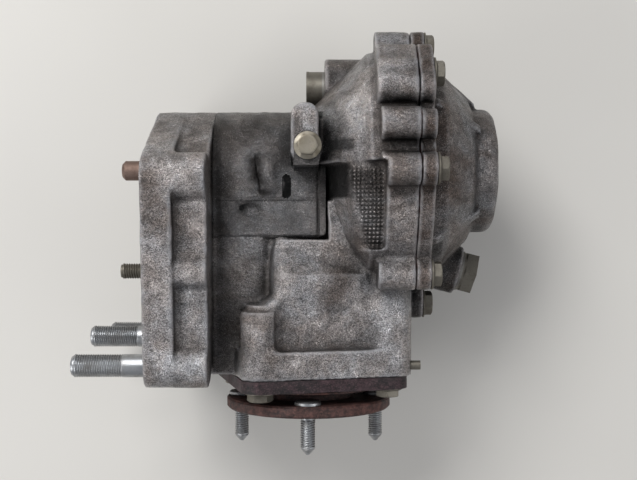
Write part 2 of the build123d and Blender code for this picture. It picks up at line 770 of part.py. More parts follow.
# Heat shield: a sheet over the tube, with an ear on the lug
with BuildPart() as heat_shield:
    inner_r = shielded_tube_r + shield_gap
    with BuildSketch(Plane.YZ.offset(shield_left_x)):
        with BuildLine():
            outer_arc = CenterArc((0, 0), inner_r + shield_t, shield_front_angle, 90 - shield_front_angle)
            inner_arc = CenterArc((0, 0), inner_r, shield_front_angle, 90 - shield_front_angle)
            Line(outer_arc @ 0, inner_arc @ 0)
            Polyline(
                outer_arc @ 1,
                (shield_rear_y, inner_r + shield_t),
                (shield_rear_y, inner_r),
                inner_arc @ 1,
            )
        make_face()
    extrude(amount=shield_right_x - shield_left_x)
    lug_left_x = lug_x - lug_w / 2 - run_gap
    with BuildSketch(Plane.XY):
        with Locations(((lug_left_x + shield_right_x) / 2 + 1, tube_r / 2 + lug_rear_y - 0.5)):
            Rectangle(shield_right_x - lug_left_x + 2, tube_r)
        with Locations((slot_x, slot_y)):
            SlotOverall(slot_l, slot_w, rotation=90)
    extrude(amount=2 * tube_r, mode=Mode.SUBTRACT)
    ear_rear_y = lug_rear_y - 0.5 - shield_t
    with BuildSketch(Plane.XY.offset(inner_r)):
        with Locations((lug_x, ear_rear_y + shield_t / 2)):
            Rectangle(ear_w, shield_t)
    extrude(amount=lug_top_z + shield_t - inner_r)
    with BuildSketch(Plane.XY.offset(lug_top_z)):
        with Locations((lug_x, (ear_rear_y + ear_front_y) / 2)):
            Rectangle(ear_w, ear_front_y - ear_rear_y)
        with Locations((shield_bolt_x, shield_bolt_y)):
            Circle(m6_r + bolt_gap, mode=Mode.SUBTRACT)
    extrude(amount=shield_t)

with BuildPart() as heat_shield_bolt:
    bolt = hex_bolt(m6_r, shield_bolt_in, m6_flats, m6_head, m6_flange_r, m6_flange_h)
    add(bolt.moved(lug_place.offset(shield_t).location))

# Transaxle flange fasteners
with BuildPart() as transaxle_studs:
    for yz in (low_stud_yz, mid_stud_yz, deep_stud_yz):
        add(stud(m12_r, m12_seat_r, stud_in, long_stud_out, 1.5).moved(along_x(yz, 0, -1).location))

with BuildPart() as transaxle_short_stud:
    short_stud = stud(m8_r, m8_seat_r, short_bolt_in, short_bolt_out, 1.0)
    add(short_stud.moved(along_x(short_bolt_yz, 0, -1).location))

with BuildPart() as transaxle_dowel:
    dowel = stud(dowel_pin_r, dowel_seat_r, dowel_in, dowel_pin_out, 1.5)
    add(dowel.moved(along_x(dowel_yz, 0, -1).location))

# Case joint fasteners
with BuildPart() as case_bolts:
    for yz in joint_bolt_yz:
        bolt = hex_bolt(m8_r, joint_bolt_shank, m8_flats, m8_head, m8_flange_r, m8_flange_h)
        add(bolt.moved(along_x(yz, right_face_x).location))

with BuildPart() as case_dowels:
    for yz in case_dowel_yz:
        add(rod(m8_r, -case_dowel_in, case_dowel_out, along_x(yz, joint_x)))

# Plugs
with BuildPart() as filler_plug:
    add(hex_plug(filler_place))

with BuildPart() as filler_gasket:
    add(tube(plug_r + 3.5, plug_r, 0, gasket_t, filler_place))

with BuildPart() as drain_plug:
    add(hex_plug(drain_place))

with BuildPart() as drain_gasket:
    add(tube(plug_r + 3.5, plug_r, 0, gasket_t, drain_place))

with BuildPart() as screw_plug:
    add(rod(plug_r, -screw_shank, 0, screw_place))
    add(rod(screw_plug_r, gasket_t, screw_plug_l, screw_place))
    add(rod(plug_r, 0, gasket_t, screw_place))
    add(rod(screw_rim_r, screw_plug_l, screw_plug_l + screw_rim_t, screw_place))

with BuildPart() as screw_plug_gasket:
    add(tube(screw_plug_r, plug_r, 0, gasket_t, screw_place))

with BuildPart() as neck_pin:
    add(rod(neck_pin_r, -neck_pin_in, neck_pin_out, neck_pin_place))

# Bearing cage and its fasteners
cage_plate_d = neck_face_d + shim_t
cage_end_d = cage_plate_d + cage_plate_t
with BuildPart() as bearing_cage:
    add(cage_hull(cage_bolt_r, cage_boss_r, cage_plate_d, cage_end_d))
    add(rod(cage_bore_r, cage_bore_d + 1, cage_plate_d, pinion_place))
    cage_bore = [
        (0, cage_bore_d),
        (head_cup_r, cage_bore_d),
        (head_cup_r, head_bearing_d + head_bearing_w),
        (tail_cup_r - 3, head_bearing_d + head_bearing_w),
        (tail_cup_r - 3, tail_bearing_d),
        (tail_cup_r, tail_bearing_d),
        (tail_cup_r, pinion_seal_d),
        (pinion_seal_r, pinion_seal_d),
        (pinion_seal_r, cage_end_d + 1),
        (0, cage_end_d + 1),
    ]
    add(turned(cage_bore, pinion_place), mode=Mode.SUBTRACT)
    for place in cage_bolt_places(cage_plate_d):
        add(rod(m8_r + bolt_gap, -1, cage_plate_t + 1, place), mode=Mode.SUBTRACT)
    add(tube(cage_bore_r + 1, groove_r, groove_d, groove_d + groove_w, pinion_place), mode=Mode.SUBTRACT)

with BuildPart() as cage_o_ring:
    add(tube(cage_bore_r, groove_r, groove_d + 0.2, groove_d + groove_w - 0.2, pinion_place))

with BuildPart() as cage_shim:
    add(cage_hull(cage_bolt_r, cage_boss_r, neck_face_d, cage_plate_d))
    add(rod(cage_bore_r + 0.2, neck_face_d - 1, cage_plate_d + 1, pinion_place), mode=Mode.SUBTRACT)
    for place in cage_bolt_places(neck_face_d):
        add(rod(m8_r + bolt_gap, -1, shim_t + 1, place), mode=Mode.SUBTRACT)

with BuildPart() as cage_bolts:
    for place in cage_bolt_places(cage_end_d):
        bolt = hex_bolt(m8_r, cage_bolt_shank, m8_flats, cage_bolt_head, m8_flange_r, m8_flange_h)
        add(bolt.moved(place.location))

# Oil seals
with BuildPart() as input_oil_seal:
    add(oil_seal(input_seal_r, input_sleeve_r + run_gap, input_seal_w - 1, pilot_depth + 1, main_place))

with BuildPart() as right_oil_seal:
    add(oil_seal(input_seal_r, shaft_bore_r + 0.5, input_seal_w - 2, right_seal_x, main_place))

with BuildPart() as pinion_oil_seal:
    add(oil_seal(pinion_seal_r, companion_hub_r + run_gap, pinion_seal_w, pinion_seal_d + 0.2, pinion_place))

# Driven pinion and what turns with it
with BuildPart() as driven_pinion:
    pinion_back = [
        (24.0, head_face_d - 1.5),
        (head_shoulder_r, head_face_d),
        (head_shoulder_r, head_bearing_d),
        (head_shaft_r, head_bearing_d),
        (head_shaft_r, head_bearing_d + head_bearing_w + 1),
        (tail_shaft_r, head_bearing_d + head_bearing_w + 1),
        (tail_shaft_r, tail_bearing_d + tail_bearing_w),
        (spline_r, tail_bearing_d + tail_bearing_w),
        (spline_r, washer_seat_d),
        (thread_r, washer_seat_d),
        (thread_r, shaft_end_d),
        (0, shaft_end_d),
        (0, pinion_front_d),
    ]
    add(bevel_gear(pinion_pitch_r, ring_pitch_r, ring_face_w, pinion_teeth, pinion_back, pinion_place,
                   180 / pinion_teeth))

with BuildPart() as pinion_spacer:
    spacer_start, spacer_end = head_bearing_d + head_bearing_w, tail_bearing_d
    spacer_middle = (spacer_start + spacer_end) / 2
    spacer_profile = [
        (head_shaft_r + run_gap, spacer_start),
        (spacer_bulge_r + 1, spacer_start),
        (spacer_bulge_r + 1, spacer_middle - 5),
        (spacer_bulge_r + 2.5, spacer_middle),
        (spacer_bulge_r + 1, spacer_middle + 5),
        (spacer_r, spacer_end),
        (tail_shaft_r, spacer_end),
        (tail_shaft_r, spacer_end - 3),
        (head_shaft_r + run_gap, spacer_end - 6),
    ]
    add(turned(spacer_profile, pinion_place))

with BuildPart() as companion_flange:
    companion_back_d = companion_face_d - companion_t
    hub_start_d = tail_bearing_d + tail_bearing_w
    companion_profile = [
        (spline_r, hub_start_d),
        (companion_hub_r, hub_start_d),
        (companion_hub_r, companion_flare_d),
        (companion_flare_r, washer_seat_d),
        (companion_flare_r, companion_back_d),
        (companion_r - small_chamfer, companion_back_d),
        (companion_r, companion_back_d + small_chamfer),
        (companion_r, companion_face_d - small_chamfer),
        (companion_r - small_chamfer, companion_face_d),
        (nut_pocket_r, companion_face_d),
        (nut_pocket_r - 1, washer_seat_d),
        (spline_r, washer_seat_d),
    ]
    add(turned(companion_profile, pinion_place))
    for place in stud_circle_places(companion_face_d):
        add(tapped_hole(flange_press_r, companion_t + 1, flipped(place)), mode=Mode.SUBTRACT)

with BuildPart() as flange_studs:
    for place in stud_circle_places(companion_face_d):
        add(rod(stud_head_r, -companion_t - stud_head_h, -companion_t, place))
        add(stud(flange_stud_r, flange_press_r, companion_t, flange_stud_out, 3.0).moved(place.location))

with BuildPart() as dust_deflector:
    add(tube(deflector_r, companion_hub_r, deflector_d, deflector_d + deflector_t, pinion_place))

with BuildPart() as pinion_washer:
    add(tube(nut_pocket_r - 4, thread_r, washer_seat_d, nut_seat_d, pinion_place))

with BuildPart() as pinion_nut:
    with BuildSketch(pinion_place.offset(nut_seat_d)):
        RegularPolygon(pinion_nut_flats / 2, 6, major_radius=False)
        Circle(thread_r, mode=Mode.SUBTRACT)
    extrude(amount=pinion_nut_h)

# Ring gear and the differential's housing
differential_right = along_x((0, 0), differential_x)
differential_left = along_x((0, 0), differential_x, -1)
with BuildPart() as ring_gear:
    ring_back = [
        (ring_gear_r, 31.5),
        (ring_gear_r, carrier_flange_x - pinion_x),
        (drum_r, carrier_flange_x - pinion_x),
        (drum_r, drum_start_x - 0.3 - pinion_x),
        (34.0, drum_start_x - 0.3 - pinion_x),
    ]
    add(bevel_gear(ring_pitch_r, pinion_pitch_r, ring_face_w, ring_teeth, ring_back,
                   along_x((0, 0), pinion_x), 180))
    for i in range(8):
        yz = on_circle(ring_bolt_circle_r, i * 45)
        add(rod(m8_r, 0, ring_bolt_shank - carrier_flange_t, along_x(yz, carrier_flange_x, -1)),
            mode=Mode.SUBTRACT)

with BuildPart() as ring_gear_carrier:
    carrier_profile = [
        (trunnion_in_r, left_bearing_x - 2),
        (trunnion_r, left_bearing_x - 2),
        (trunnion_r, left_bearing_x + carrier_bearing_w),
        (trunnion_r + 3, left_bearing_x + carrier_bearing_w),
        (trunnion_r + 3, carrier_disc_x - 3),
        (31.0, carrier_disc_x),
        (31.0, drum_start_x),
        (drum_r, drum_start_x),
        (drum_r, carrier_flange_x),
        (ring_gear_r, carrier_flange_x),
        (ring_gear_r, carrier_flange_x + carrier_flange_t),
        (drum_r, carrier_flange_x + carrier_flange_t),
        (drum_r, drum_end_x - 12),
        (drum_rim_r, drum_end_x - 8),
        (drum_rim_r, drum_end_x),
        (drum_in_r, drum_end_x),
        (drum_in_r, rear_side_back_x),
        (trunnion_in_r, rear_side_back_x),
    ]
    add(turned(carrier_profile, main_place))
    for i in range(8):
        yz = on_circle(ring_bolt_circle_r, i * 45)
        add(rod(m8_r + bolt_gap, -1, carrier_flange_t + 1, along_x(yz, carrier_flange_x)), mode=Mode.SUBTRACT)
        yz = on_circle(cover_bolt_circle_r, i * 45)
        add(rod(m5_r, 0, cover_bolt_shank - cover_t, along_x(yz, drum_end_x, -1)), mode=Mode.SUBTRACT)

with BuildPart() as ring_gear_bolts:
    for i in range(8):
        yz = on_circle(ring_bolt_circle_r, i * 45)
        bolt = cap_screw(m8_r, ring_bolt_shank, m8_flats, ring_bolt_head)
        add(bolt.moved(along_x(yz, carrier_flange_x + carrier_flange_t).location))

with BuildPart() as drum_cover:
    cover_end_x = drum_end_x + cover_t
    cover_profile = [
        (front_sleeve_r + run_gap, drum_end_x),
        (drum_rim_r, drum_end_x),
        (drum_rim_r, cover_end_x),
        (trunnion_r + 3, cover_end_x),
        (trunnion_r + 3, right_bearing_x - carrier_bearing_w),
        (trunnion_r, right_bearing_x - carrier_bearing_w),
        (trunnion_r, right_bearing_x),
        (front_sleeve_r + run_gap, right_bearing_x),
    ]
    add(turned(cover_profile, main_place))
    for i in range(8):
        yz = on_circle(cover_bolt_circle_r, i * 45)
        add(rod(m5_r + 0.2, -1, cover_t + 1, along_x(yz, drum_end_x)), mode=Mode.SUBTRACT)

with BuildPart() as drum_cover_bolts:
    for i in range(8):
        yz = on_circle(cover_bolt_circle_r, i * 45)
        add(cap_screw(m5_r, cover_bolt_shank, m5_flats, m5_head).moved(along_x(yz, cover_end_x).location))

# Centre differential
with BuildPart() as rear_side_gear:
    rear_back_h = differential_x - rear_side_back_x
    back = [
        (30.0, 21.5),
        (30.0, rear_back_h),
        (trunnion_in_r, rear_back_h),
        (trunnion_in_r, side_front_h),
    ]
    add(bevel_gear(side_pitch_r, spider_pitch_r, side_face_w, side_teeth, back, differential_left, 0))

with BuildPart() as front_side_gear:
    back = [
        (30.0, 21.5),
        (30.0, side_back),
        (front_sleeve_r, side_back),
        (front_sleeve_r, side_front_h),
    ]
    add(bevel_gear(side_pitch_r, spider_pitch_r, side_face_w, side_teeth, back, differential_right, 0))

with BuildPart() as side_gear_washer:
    washer_x = differential_x + side_back + 0.1
    add(tube(side_washer_r, front_sleeve_r + run_gap, washer_x, drum_end_x - 0.1, main_place))

with BuildPart() as front_output_sleeve:
    add(tube(front_sleeve_r, shaft_bore_r, sleeve_start_x, drum_end_x, main_place))

with BuildPart() as input_sleeve:
    add(tube(input_sleeve_r, input_sleeve_in_r, sleeve_start_x, differential_x + cross_hub_w / 2, main_place))

arm_places = {
    "front": Plane(origin=(differential_x, 0, 0), x_dir=(1, 0, 0), z_dir=(0, 1, 0)),
    "upper": Plane(origin=(differential_x, 0, 0), x_dir=(1, 0, 0), z_dir=(0, 0, 1)),
    "rear": Plane(origin=(differential_x, 0, 0), x_dir=(1, 0, 0), z_dir=(0, -1, 0)),
    "lower": Plane(origin=(differential_x, 0, 0), x_dir=(1, 0, 0), z_dir=(0, 0, -1)),
}
with BuildPart() as differential_cross:
    for place in arm_places.values():
        add(rod(cross_arm_r, input_sleeve_r + 1, cross_arm_end, place))
    add(rod(cross_hub_r, -cross_hub_w / 2, cross_hub_w / 2, differential_right))
    add(rod(input_sleeve_r, -cross_hub_w, cross_hub_w, differential_right), mode=Mode.SUBTRACT)

with BuildPart() as spider_washers:
    for place in arm_places.values():
        start = spider_back + 0.2
        add(tube(spider_washer_r, cross_arm_r + run_gap, start, start + spider_washer_t, place))

spider_gears = {}
for arm, place in arm_places.items():
    back = [
        (10.0, spider_back),
        (cross_arm_r + run_gap, spider_back),
        (cross_arm_r + run_gap, spider_bore_front),
    ]
    with BuildPart() as spider_gear:
        add(bevel_gear(spider_pitch_r, side_pitch_r, side_face_w, spider_teeth, back, place,
                       180 / spider_teeth))
    spider_gears[f"{arm}_spider_gear"] = spider_gear

# Taper roller bearings: sizes, then the place of each one
carrier_bearing = (trunnion_r, carrier_bearing_r, carrier_bearing_w, 2.2, 8.0)
head_bearing = (head_shaft_r, head_cup_r, head_bearing_w, 3.2, 12.0)
tail_bearing = (tail_shaft_r, tail_cup_r, tail_bearing_w, 3.0, 12.0)
head_place = Plane(origin=(pinion_x, -head_bearing_d - head_bearing_w, 0), x_dir=(1, 0, 0), z_dir=(0, 1, 0))
bearings = {
    "left_bearing": (carrier_bearing, carrier_rollers, along_x((0, 0), left_bearing_x)),
    "right_bearing": (carrier_bearing, carrier_rollers, along_x((0, 0), right_bearing_x, -1)),
    "head_bearing": (head_bearing, head_rollers, head_place),
    "tail_bearing": (tail_bearing, tail_rollers, pinion_place.offset(tail_bearing_d)),
}
bearing_pieces = {}
for name, (sizes, count, place) in bearings.items():
    with BuildPart() as cone:
        add(bearing_cone(*sizes, place))
    with BuildPart() as cup:
        add(bearing_cup(*sizes, place))
    with BuildPart() as rollers:
        add(bearing_rollers(*sizes, count, place))
    bearing_pieces[f"{name}_cone"] = cone
    bearing_pieces[f"{name}_cup"] = cup
    bearing_pieces[f"{name}_rollers"] = rollers

pieces = {
    "main_case": main_case,
    "right_case": right_case,
    "heat_shield": heat_shield,
    "heat_shield_bolt": heat_shield_bolt,
    "transaxle_studs": transaxle_studs,
    "transaxle_short_stud": transaxle_short_stud,
    "transaxle_dowel": transaxle_dowel,
    "case_bolts": case_bolts,
    "case_dowels": case_dowels,
    "filler_plug": filler_plug,
    "filler_gasket": filler_gasket,
    "drain_plug": drain_plug,
    "drain_gasket": drain_gasket,
    "screw_plug": screw_plug,
    "screw_plug_gasket": screw_plug_gasket,
    "neck_pin": neck_pin,
    "bearing_cage": bearing_cage,
    "cage_o_ring": cage_o_ring,
    "cage_shim": cage_shim,
    "cage_bolts": cage_bolts,
    "input_oil_seal": input_oil_seal,
    "right_oil_seal": right_oil_seal,
    "pinion_oil_seal": pinion_oil_seal,
    "driven_pinion": driven_pinion,
    "pinion_spacer": pinion_spacer,
    "companion_flange": companion_flange,
    "flange_studs": flange_studs,
    "dust_deflector": dust_deflector,
    "pinion_washer": pinion_washer,
    "pinion_nut": pinion_nut,
    "ring_gear": ring_gear,
    "ring_gear_carrier": ring_gear_carrier,
    "ring_gear_bolts": ring_gear_bolts,
    "drum_cover": drum_cover,
    "drum_cover_bolts": drum_cover_bolts,
    "rear_side_gear": rear_side_gear,
    "front_side_gear": front_side_gear,
    "side_gear_washer": side_gear_washer,
    "front_output_sleeve": front_output_sleeve,
    "input_sleeve": input_sleeve,
    "differential_cross": differential_cross,
    "spider_washers": spider_washers,
    **spider_gears,
    **bearing_pieces,
}
for label, piece in pieces.items():
    piece.part.label = label
    export_step(piece.part, f"parts/{label}.step")
print(len(pieces), "sub-parts")
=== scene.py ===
import json
import math
import random

import bmesh
import bpy
import numpy as np
from mathutils import Matrix, Vector, noise

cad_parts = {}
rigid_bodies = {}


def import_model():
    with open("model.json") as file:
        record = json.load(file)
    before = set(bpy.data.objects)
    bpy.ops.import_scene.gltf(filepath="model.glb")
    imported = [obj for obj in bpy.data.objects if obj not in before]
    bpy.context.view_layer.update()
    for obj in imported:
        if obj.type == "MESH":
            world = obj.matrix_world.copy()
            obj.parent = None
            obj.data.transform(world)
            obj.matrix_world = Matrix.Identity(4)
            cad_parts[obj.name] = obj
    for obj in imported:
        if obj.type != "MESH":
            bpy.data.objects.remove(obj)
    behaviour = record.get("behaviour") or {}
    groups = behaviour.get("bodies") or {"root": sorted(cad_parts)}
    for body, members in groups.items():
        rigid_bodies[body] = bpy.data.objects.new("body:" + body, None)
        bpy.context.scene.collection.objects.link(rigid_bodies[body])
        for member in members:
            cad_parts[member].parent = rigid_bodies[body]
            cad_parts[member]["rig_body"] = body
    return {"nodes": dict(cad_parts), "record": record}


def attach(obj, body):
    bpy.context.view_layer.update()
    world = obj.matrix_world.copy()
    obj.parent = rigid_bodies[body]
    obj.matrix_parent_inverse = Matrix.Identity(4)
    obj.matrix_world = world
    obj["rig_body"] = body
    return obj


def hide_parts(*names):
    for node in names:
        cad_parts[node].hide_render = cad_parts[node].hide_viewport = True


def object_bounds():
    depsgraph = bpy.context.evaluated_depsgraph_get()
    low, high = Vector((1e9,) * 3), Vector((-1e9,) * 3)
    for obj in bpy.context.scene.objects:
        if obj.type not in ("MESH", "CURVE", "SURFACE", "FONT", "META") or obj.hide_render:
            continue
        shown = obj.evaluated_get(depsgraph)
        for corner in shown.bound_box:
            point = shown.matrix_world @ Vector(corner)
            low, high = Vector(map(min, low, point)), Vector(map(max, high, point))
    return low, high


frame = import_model()
cad_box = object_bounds()
random.seed(7)

MM = 0.001

# The plane where the two cases meet, in metres
JOINT_X = 0.1414

# The heat shield and the lug that it is bolted to, in millimetres
SHEET_T = 1.2
SHIELD_R = 33.3
SHIELD_START_ANGLE = 12
SHIELD_LEFT_X, LUG_LEFT_X, SHIELD_RIGHT_X = 33.3, 75.3, 93.8
SHIELD_REAR_Y, LUG_REAR_Y = -38.0, 0.5
SHIELD_CORNER_R = 4.0
SLOT_X, SLOT_Y, SLOT_R, SLOT_HALF_LENGTH = 72.6, -10.6, 2.4, 4.3
EAR_LEFT_X, EAR_RIGHT_X, EAR_SEAT_Z = 77.0, 90.0, 55.0
SHIELD_BOLT_X, SHIELD_BOLT_Y, EAR_TAB_R = 84.4, 9.3, 7.4

# Fasteners, in millimetres
FINE_PITCH = 1.25
M12_R, M8_R, M6_R = 6.0, 4.0, 3.0


# Materials

def new_material(name):
    """An empty node material with its shader."""
    material = bpy.data.materials.new(name)
    material.use_nodes = True
    tree = material.node_tree
    return material, tree, tree.nodes["Principled BSDF"]


def add_noise(tree, scale, detail=4.0, roughness=0.6, distortion=0.0):
    """A noise texture in object space, in which one unit is a metre."""
    coordinates = tree.nodes.new("ShaderNodeTexCoord")
    texture = tree.nodes.new("ShaderNodeTexNoise")
    texture.inputs["Scale"].default_value = scale
    texture.inputs["Detail"].default_value = detail
    texture.inputs["Roughness"].default_value = roughness
    texture.inputs["Distortion"].default_value = distortion
    tree.links.new(coordinates.outputs["Object"], texture.inputs["Vector"])
    return texture.outputs["Fac"]


def ramp(tree, value, stops):
    """Colours or greys along a value."""
    node = tree.nodes.new("ShaderNodeValToRGB")
    elements = node.color_ramp.elements
    while len(elements) < len(stops):
        elements.new(0.5)
    for element, (position, colour) in zip(elements, stops):
        element.position = position
        element.color = (*colour, 1.0)
    tree.links.new(value, node.inputs["Fac"])
    return node.outputs["Color"]


def mix(tree, factor, first, second, blend="MIX"):
    """Two colours mixed by a factor. first and second are sockets or colours."""
    node = tree.nodes.new("ShaderNodeMix")
    node.data_type = "RGBA"
    node.blend_type = blend
    for value, socket in ((factor, node.inputs["Factor"]), (first, node.inputs["A"]), (second, node.inputs["B"])):
        if isinstance(value, bpy.types.NodeSocket):
            tree.links.new(value, socket)
        elif isinstance(value, (int, float)):
            socket.default_value = value
        else:
            socket.default_value = (*value, 1.0)
    return node.outputs["Result"]


def grey(value):
    """A colour with three equal parts."""
    return (value, value, value)


def shade(tree, base, value, stops):
    """A colour multiplied by a ramp along a value."""
    return mix(tree, 1.0, base, ramp(tree, value, stops), "MULTIPLY")


def bump(tree, shader, heights):
    """Bump from several (height socket, strength, distance) layers."""
    normal = None
    for height, strength, distance in heights:
        node = tree.nodes.new("ShaderNodeBump")
        node.inputs["Strength"].default_value = strength
        node.inputs["Distance"].default_value = distance
        tree.links.new(height, node.inputs["Height"])
        if normal is not None:
            tree.links.new(normal, node.inputs["Normal"])
        normal = node.outputs["Normal"]
    tree.links.new(normal, shader.inputs["Normal"])


def pointiness(tree, low, high):
    """Light on edges and dark in hollows, from the mesh's own curvature."""
    geometry = tree.nodes.new("ShaderNodeNewGeometry")
    return ramp(tree, geometry.outputs["Pointiness"], [(low, grey(0.0)), (high, grey(1.0))])


def near_shade(tree, distance):
    """How open the surface is to its surroundings: low in corners and hollows."""
    node = tree.nodes.new("ShaderNodeAmbientOcclusion")
    node.samples = 8
    node.inputs["Distance"].default_value = distance
    return node.outputs["AO"]


def object_axes(tree):
    """The X, Y and Z sockets of object space."""
    coordinates = tree.nodes.new("ShaderNodeTexCoord")
    split = tree.nodes.new("ShaderNodeSeparateXYZ")
    tree.links.new(coordinates.outputs["Object"], split.inputs["Vector"])
    return split.outputs


def calculate(tree, operation, first, second=0.0, third=0.0):
    """One math node on sockets or numbers."""
    node = tree.nodes.new("ShaderNodeMath")
    node.operation = operation
    for value, socket in zip((first, second, third), node.inputs):
        if isinstance(value, bpy.types.NodeSocket):
            tree.links.new(value, socket)
        else:
            socket.default_value = value
    return node.outputs[0]


def band(tree, value, low, high, soft):
    """1 between two values and 0 outside, with soft ends."""
    sides = []
    for over in (calculate(tree, "SUBTRACT", value, low), calculate(tree, "SUBTRACT", high, value)):
        share = calculate(tree, "DIVIDE", over, soft)
        sides.append(calculate(tree, "MAXIMUM", calculate(tree, "MINIMUM", share, 1.0), 0.0))
    return calculate(tree, "MULTIPLY", *sides)


def product(tree, *values):
    """Several sockets or numbers multiplied."""
    result = values[0]
    for value in values[1:]:
        result = calculate(tree, "MULTIPLY", result, value)
    return result


def region(tree, axes, along_x, along_y, along_z):
    """1 inside a box and 0 outside. Each side is (low, high, soft), in metres."""
    return product(tree, *[band(tree, axes[axis], *side) for axis, side in zip("XYZ", (along_x, along_y, along_z))])


def covered(tree, base, amount, share, colour):
    """A colour covered by another one, where amount says and as far as share."""
    return mix(tree, calculate(tree, "MULTIPLY", amount, share), base, colour)


def cast_material(name, tone, brown, roughness, bottom_brightness, edge_highlight, extras, grit=1.0):
    """Sand-cast aluminium: fine bright and dark speckle, stains, darker towards the bottom, painted shade in hollows
    and creases, and a painted highlight on convex edges.

    tone is the metal's brightness, brown the warmth of its dark patches, bottom_brightness the brightness left at
    the bottom, edge_highlight the strength of the painted highlight on convex edges, which also turns on the painted
    shade in creases, and grit the strength of the speckle.
    """
    material, tree, shader = new_material(name)
    patches = add_noise(tree, 19.0, 5.0, 0.6, 0.8)
    stains = add_noise(tree, 75.0, 6.0, 0.7, 0.4)
    blotches = add_noise(tree, 230.0, 4.0, 0.7)
    grain = add_noise(tree, 1000.0, 4.0, 0.8)
    fine = add_noise(tree, 2000.0, 2.0, 0.7)
    cold = (tone, tone * 0.975, tone * 0.98)
    warm_tone = tone * 0.72
    warm = (warm_tone, warm_tone * (1 - brown), warm_tone * (1 - 1.5 * brown))
    base = mix(tree, ramp(tree, patches, [(0.38, grey(0.0)), (0.62, grey(1.0))]), warm, cold)
    for value, low, dark, high in (
            (stains, 0.34, 0.52, 0.60),
            (patches, 0.34, 0.42, 0.58),
            (blotches, 0.36, 1 - 0.32 * grit, 0.58),
            (grain, 0.40, 1 - 0.55 * grit, 0.58),
            (fine, 0.40, 1 - 0.6 * grit, 0.56)):
        base = shade(tree, base, value, [(low, grey(dark)), (high, grey(1.0))])
    # Painted shade: darker in corners and hollows, by how open the surface is
    base = shade(tree, base, near_shade(tree, 0.016), [(0.42, grey(0.06)), (0.78, grey(0.58)), (0.98, grey(1.0))])
    axes = object_axes(tree)
    # Darker towards the bottom
    height = calculate(tree, "MULTIPLY", calculate(tree, "ADD", axes["Z"], 0.08), 6.6)
    base = shade(tree, base, height, [(0.42, grey(bottom_brightness)), (0.80, grey(1.0))])
    if edge_highlight > 0:
        # Painted highlight on convex edges
        base = covered(tree, base, pointiness(tree, 0.508, 0.55), edge_highlight, (0.50, 0.49, 0.50))
        # Painted shade in creases and hollows
        base = mix(tree, pointiness(tree, 0.43, 0.492), [c * 0.10 for c in warm], base)
    tints = add_noise(tree, 60.0, 4.0, 0.7)
    base = shade(tree, base, tints, [(0.42, (1.03, 0.985, 0.95)), (0.58, (0.985, 1.0, 1.015))])
    sparkle = ramp(tree, fine, [(0.655, grey(0.0)), (0.69, grey(1.0))])
    base = covered(tree, base, sparkle, 0.5, (0.62, 0.61, 0.60))
    heights = [(grain, 0.6, 0.0007), (fine, 0.5, 0.0003), (blotches, 0.5, 0.0012), (stains, 0.5, 0.0025)]
    base = extras(tree, axes, base, heights)
    tree.links.new(base, shader.inputs["Base Color"])
    shader.inputs["Metallic"].default_value = 0.72
    rough = ramp(tree, stains, [(0.3, grey(roughness + 0.16)), (0.7, grey(roughness - 0.12))])
    tree.links.new(rough, shader.inputs["Roughness"])
    bump(tree, shader, heights)
    return material


def joint_sealant(tree, axes, base):
    """A thin reddish line of sealant where the cases meet."""
    line = band(tree, axes["X"], JOINT_X - 0.0006, JOINT_X + 0.0006, 0.0002)
    broken = ramp(tree, add_noise(tree, 160.0, 3.0, 0.6), [(0.45, grey(0.0)), (0.60, grey(0.65))])
    return mix(tree, product(tree, line, broken), base, (0.075, 0.024, 0.017))


def add_knurl(tree, axes, base, heights):
    """The knurled grid in the recess, which ends on the left along a slant."""
    pitch = 0.00215
    slant = calculate(tree, "ADD", axes["X"], calculate(tree, "MULTIPLY", axes["Y"], 0.25))
    inside = product(tree, band(tree, slant, 0.1035, 0.15, 0.003),
                     region(tree, axes, (0.1, 0.1235, 0.001), (-0.047, -0.0005, 0.005), (0.026, 0.064, 0.003)))
    waves = []
    for axis in "XY":
        angle = calculate(tree, "MULTIPLY", axes[axis], 2 * math.pi / pitch)
        waves.append(calculate(tree, "MULTIPLY_ADD", calculate(tree, "SINE", angle), 0.5, 0.5))
    bumps = product(tree, *waves)
    heights.append((calculate(tree, "MULTIPLY", bumps, inside), 1.0, 0.0012))
    # Painted shade in the gaps of the grid and a painted highlight on its crests
    return mix(tree, inside, base, shade(tree, base, bumps, [(0.06, grey(0.28)), (0.55, grey(1.15))]))


def case_extras(tree, axes, base, heights):
    """On the main case: the recess's grid, painted shade in the dark opening left of the grid, a painted shadow
    beside the lug, a darker patch on the low web, painted shade on the tube under the sheet, and the sealant.
    """
    base = add_knurl(tree, axes, base, heights)
    # Painted shade: the dark opening left of the grid is painted near black
    hole_shade = region(tree, axes, (0.090, 0.1085, 0.004), (-0.0180, 0.0012, 0.0015), (0.015, 0.060, 0.001))
    base = covered(tree, base, hole_shade, 0.93, grey(0.005))
    # Painted shadow beside the lug, broken up by noise
    uneven = ramp(tree, add_noise(tree, 130.0, 3.0, 0.6), [(0.34, grey(0.4)), (0.42, grey(1.0))])
    notch_shadow = region(tree, axes, (0.0945, 0.1100, 0.002), (0.0060, 0.0145, 0.002), (0.020, 0.070, 0.001))
    base = covered(tree, base, product(tree, notch_shadow, uneven), 0.8, grey(0.012))
    # Darker on the low web left of the neck
    web = region(tree, axes, (0.0335, 0.064, 0.004), (-0.112, -0.037, 0.002), (0.0, 0.0345, 0.002))
    base = covered(tree, base, web, 0.45, (0.022, 0.018, 0.015))
    # Painted shade: the tube under the sheet is painted near black, so the slot and the edges look dark
    under = region(tree, axes, (0.034, 0.0925, 0.0005), (-0.0365, 0.031, 0.0005), (0.0, 0.0318, 0.0004))
    base = mix(tree, under, base, grey(0.004))
    return joint_sealant(tree, axes, base)


